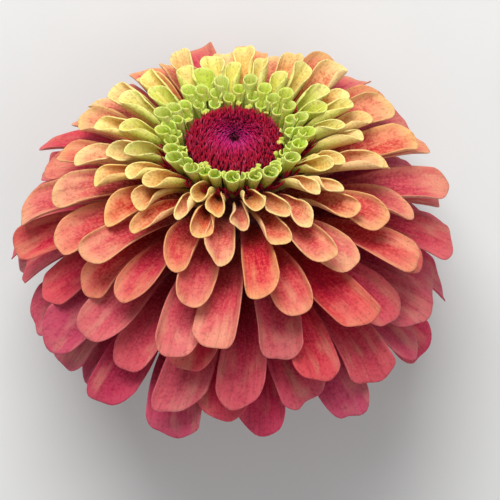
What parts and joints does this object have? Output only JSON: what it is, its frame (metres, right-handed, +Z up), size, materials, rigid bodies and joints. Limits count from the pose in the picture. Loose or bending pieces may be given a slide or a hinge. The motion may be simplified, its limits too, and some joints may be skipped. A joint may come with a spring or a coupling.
{
  "type": "zinnia flower",
  "caption": "Double zinnia bloom with layered ray petals, rolled inner tubes, a bristly disc, scaled bracts and a short cut stem, lying on its lower petals.",
  "frame": {"origin": "middle of the part's footprint, on the surface that it lies on", "axes": "+Z up; the bloom faces -Y and leans up from it; the stem's cut end points to +Y; X runs across the bloom"},
  "size_m": [0.0926, 0.0802, 0.0732],
  "materials": {
    "stem_green": "finely hairy green stem, matt",
    "bract_green": "matt green scales with darker edges",
    "rose_petal": "velvety rose petal with fine veins, soft sheen",
    "coral_petal": "velvety coral petal with pale margins, soft sheen",
    "peach_petal": "velvety peach and yellow petal, soft sheen",
    "lime_petal": "satin lime green rolled petal",
    "crimson_floret": "bristly crimson florets, matt"
  },
  "bodies": {
    "root": {"stem": "stem_green", "bracts": "bract_green", "rose_rays": "rose_petal", "coral_rays": "coral_petal", "peach_rays": "peach_petal", "lime_tubes": "lime_petal", "disc": "crimson_floret"}
  },
  "joints": []
}
